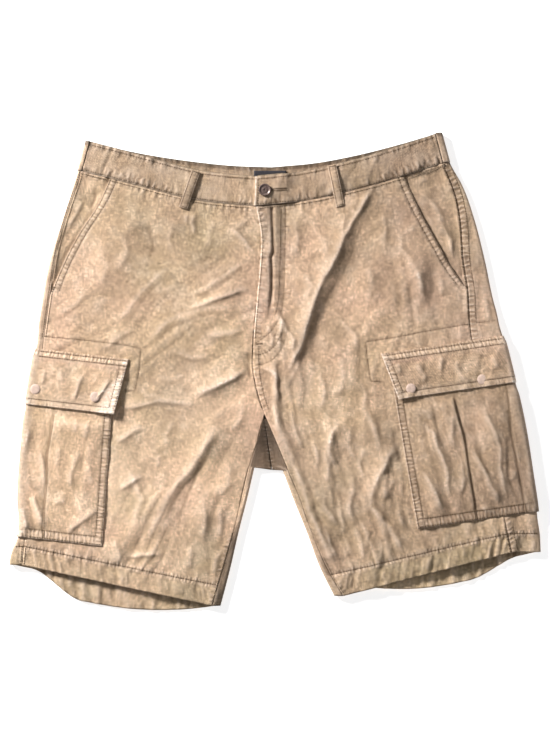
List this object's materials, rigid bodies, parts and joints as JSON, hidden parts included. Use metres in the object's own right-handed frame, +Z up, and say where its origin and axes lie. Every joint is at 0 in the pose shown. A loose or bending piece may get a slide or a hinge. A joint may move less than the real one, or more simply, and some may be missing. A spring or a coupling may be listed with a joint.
{
  "type": "cargo shorts",
  "caption": "Cotton twill cargo shorts laid out flat on their back, with a button waist, belt loops and flapped, pleated side pockets.",
  "frame": {"origin": "on the surface that the shorts lie on, below the middle of their bounds", "axes": "+X to the wearer's left, +Y to the waist, +Z up out of the front, away from the surface"},
  "size_m": [0.7038, 0.6318, 0.018],
  "materials": {
    "twill": "washed and worn khaki cotton twill",
    "facing": "khaki cotton twill, less worn",
    "label": "plain dark woven tape",
    "button": "dark brown, satin",
    "snap": "dull pinkish tan cap, worn"
  },
  "bodies": {
    "root": {"front_right": "twill", "front_left": "twill", "back_right": "twill", "back_left": "twill", "waistband_right": "twill", "waistband_left": "twill", "waistband_back": "twill", "pocket_facing_right": "facing", "pocket_facing_left": "facing", "cargo_pocket_right": "twill", "cargo_pocket_left": "twill", "flap_right": "twill", "flap_left": "twill", "belt_loop_right": "twill", "belt_loop_left": "twill", "waist_label": "label", "button": "button", "snap_right_front": "snap", "snap_right_side": "snap", "snap_left_front": "snap", "snap_left_side": "snap"}
  },
  "joints": []
}
